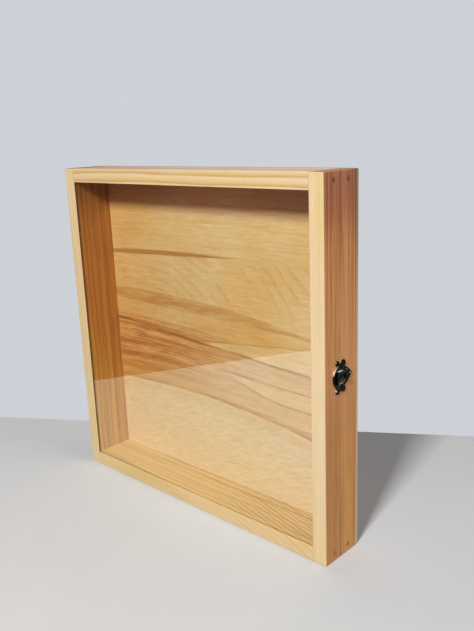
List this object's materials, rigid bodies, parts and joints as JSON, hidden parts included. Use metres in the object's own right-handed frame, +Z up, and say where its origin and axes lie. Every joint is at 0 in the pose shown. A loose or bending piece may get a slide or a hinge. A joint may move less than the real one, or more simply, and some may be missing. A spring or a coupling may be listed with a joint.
{
  "type": "fishing lure display case",
  "caption": "Shallow square pine display case with a hinged glass front, a plywood back and a scrolled metal hasp latch on its side.",
  "frame": {"origin": "centre of the footprint of the shut case, on the surface that it stands on", "axes": "+X to the right seen from the front, towards the latch; +Y to the back; +Z up"},
  "size_m": [0.4688, 0.065, 0.4572],
  "materials": {
    "door_pine": "satin clear varnish on planed pine",
    "tray_pine": "satin clear varnish on planed pine",
    "dowel_wood": "sanded end grain, varnished",
    "back_plywood": "satin birch plywood with brown streaks",
    "pane_glass": "clear float glass",
    "antique_metal": "darkened antique bronze plating, worn bright on its edges",
    "pin_metal": "antique bronze plating",
    "nail_steel": "bright steel nail heads"
  },
  "bodies": {
    "case_tray": {"tray_left_side": "tray_pine", "tray_right_side": "tray_pine", "tray_top_board": "tray_pine", "tray_bottom_board": "tray_pine", "tray_corner_dowels": "dowel_wood", "back_panel": "back_plywood", "back_panel_nails": "nail_steel", "upper_hinge_tray_leaf": "antique_metal", "upper_hinge_pin": "pin_metal", "lower_hinge_tray_leaf": "antique_metal", "lower_hinge_pin": "pin_metal", "hinge_tray_screws": "pin_metal", "latch_tray_plate": "antique_metal", "latch_tray_tacks": "pin_metal"},
    "glazed_door": {"door_left_stile": "door_pine", "door_right_stile": "door_pine", "door_top_rail": "door_pine", "door_bottom_rail": "door_pine", "door_corner_dowels": "dowel_wood", "glass_pane": "pane_glass", "upper_hinge_door_leaf": "antique_metal", "lower_hinge_door_leaf": "antique_metal", "hinge_door_screws": "pin_metal", "latch_door_plate": "antique_metal", "latch_door_tacks": "pin_metal", "latch_pin": "pin_metal"},
    "hasp_flap": {"latch_flap": "antique_metal"}
  },
  "joints": [
    {"name": "door_swing", "type": "hinge", "parent": "case_tray", "child": "glazed_door", "pos_m": [-0.2311, -0.0023, 0.2286], "axis": [0, 0, -1], "range_deg": [0, 180]},
    {"name": "flap_swing", "type": "hinge", "parent": "glazed_door", "child": "hasp_flap", "pos_m": [0.2313, -0.0109, 0.2291], "axis": [0, 0, -1], "range_deg": [0, 150]}
  ]
}
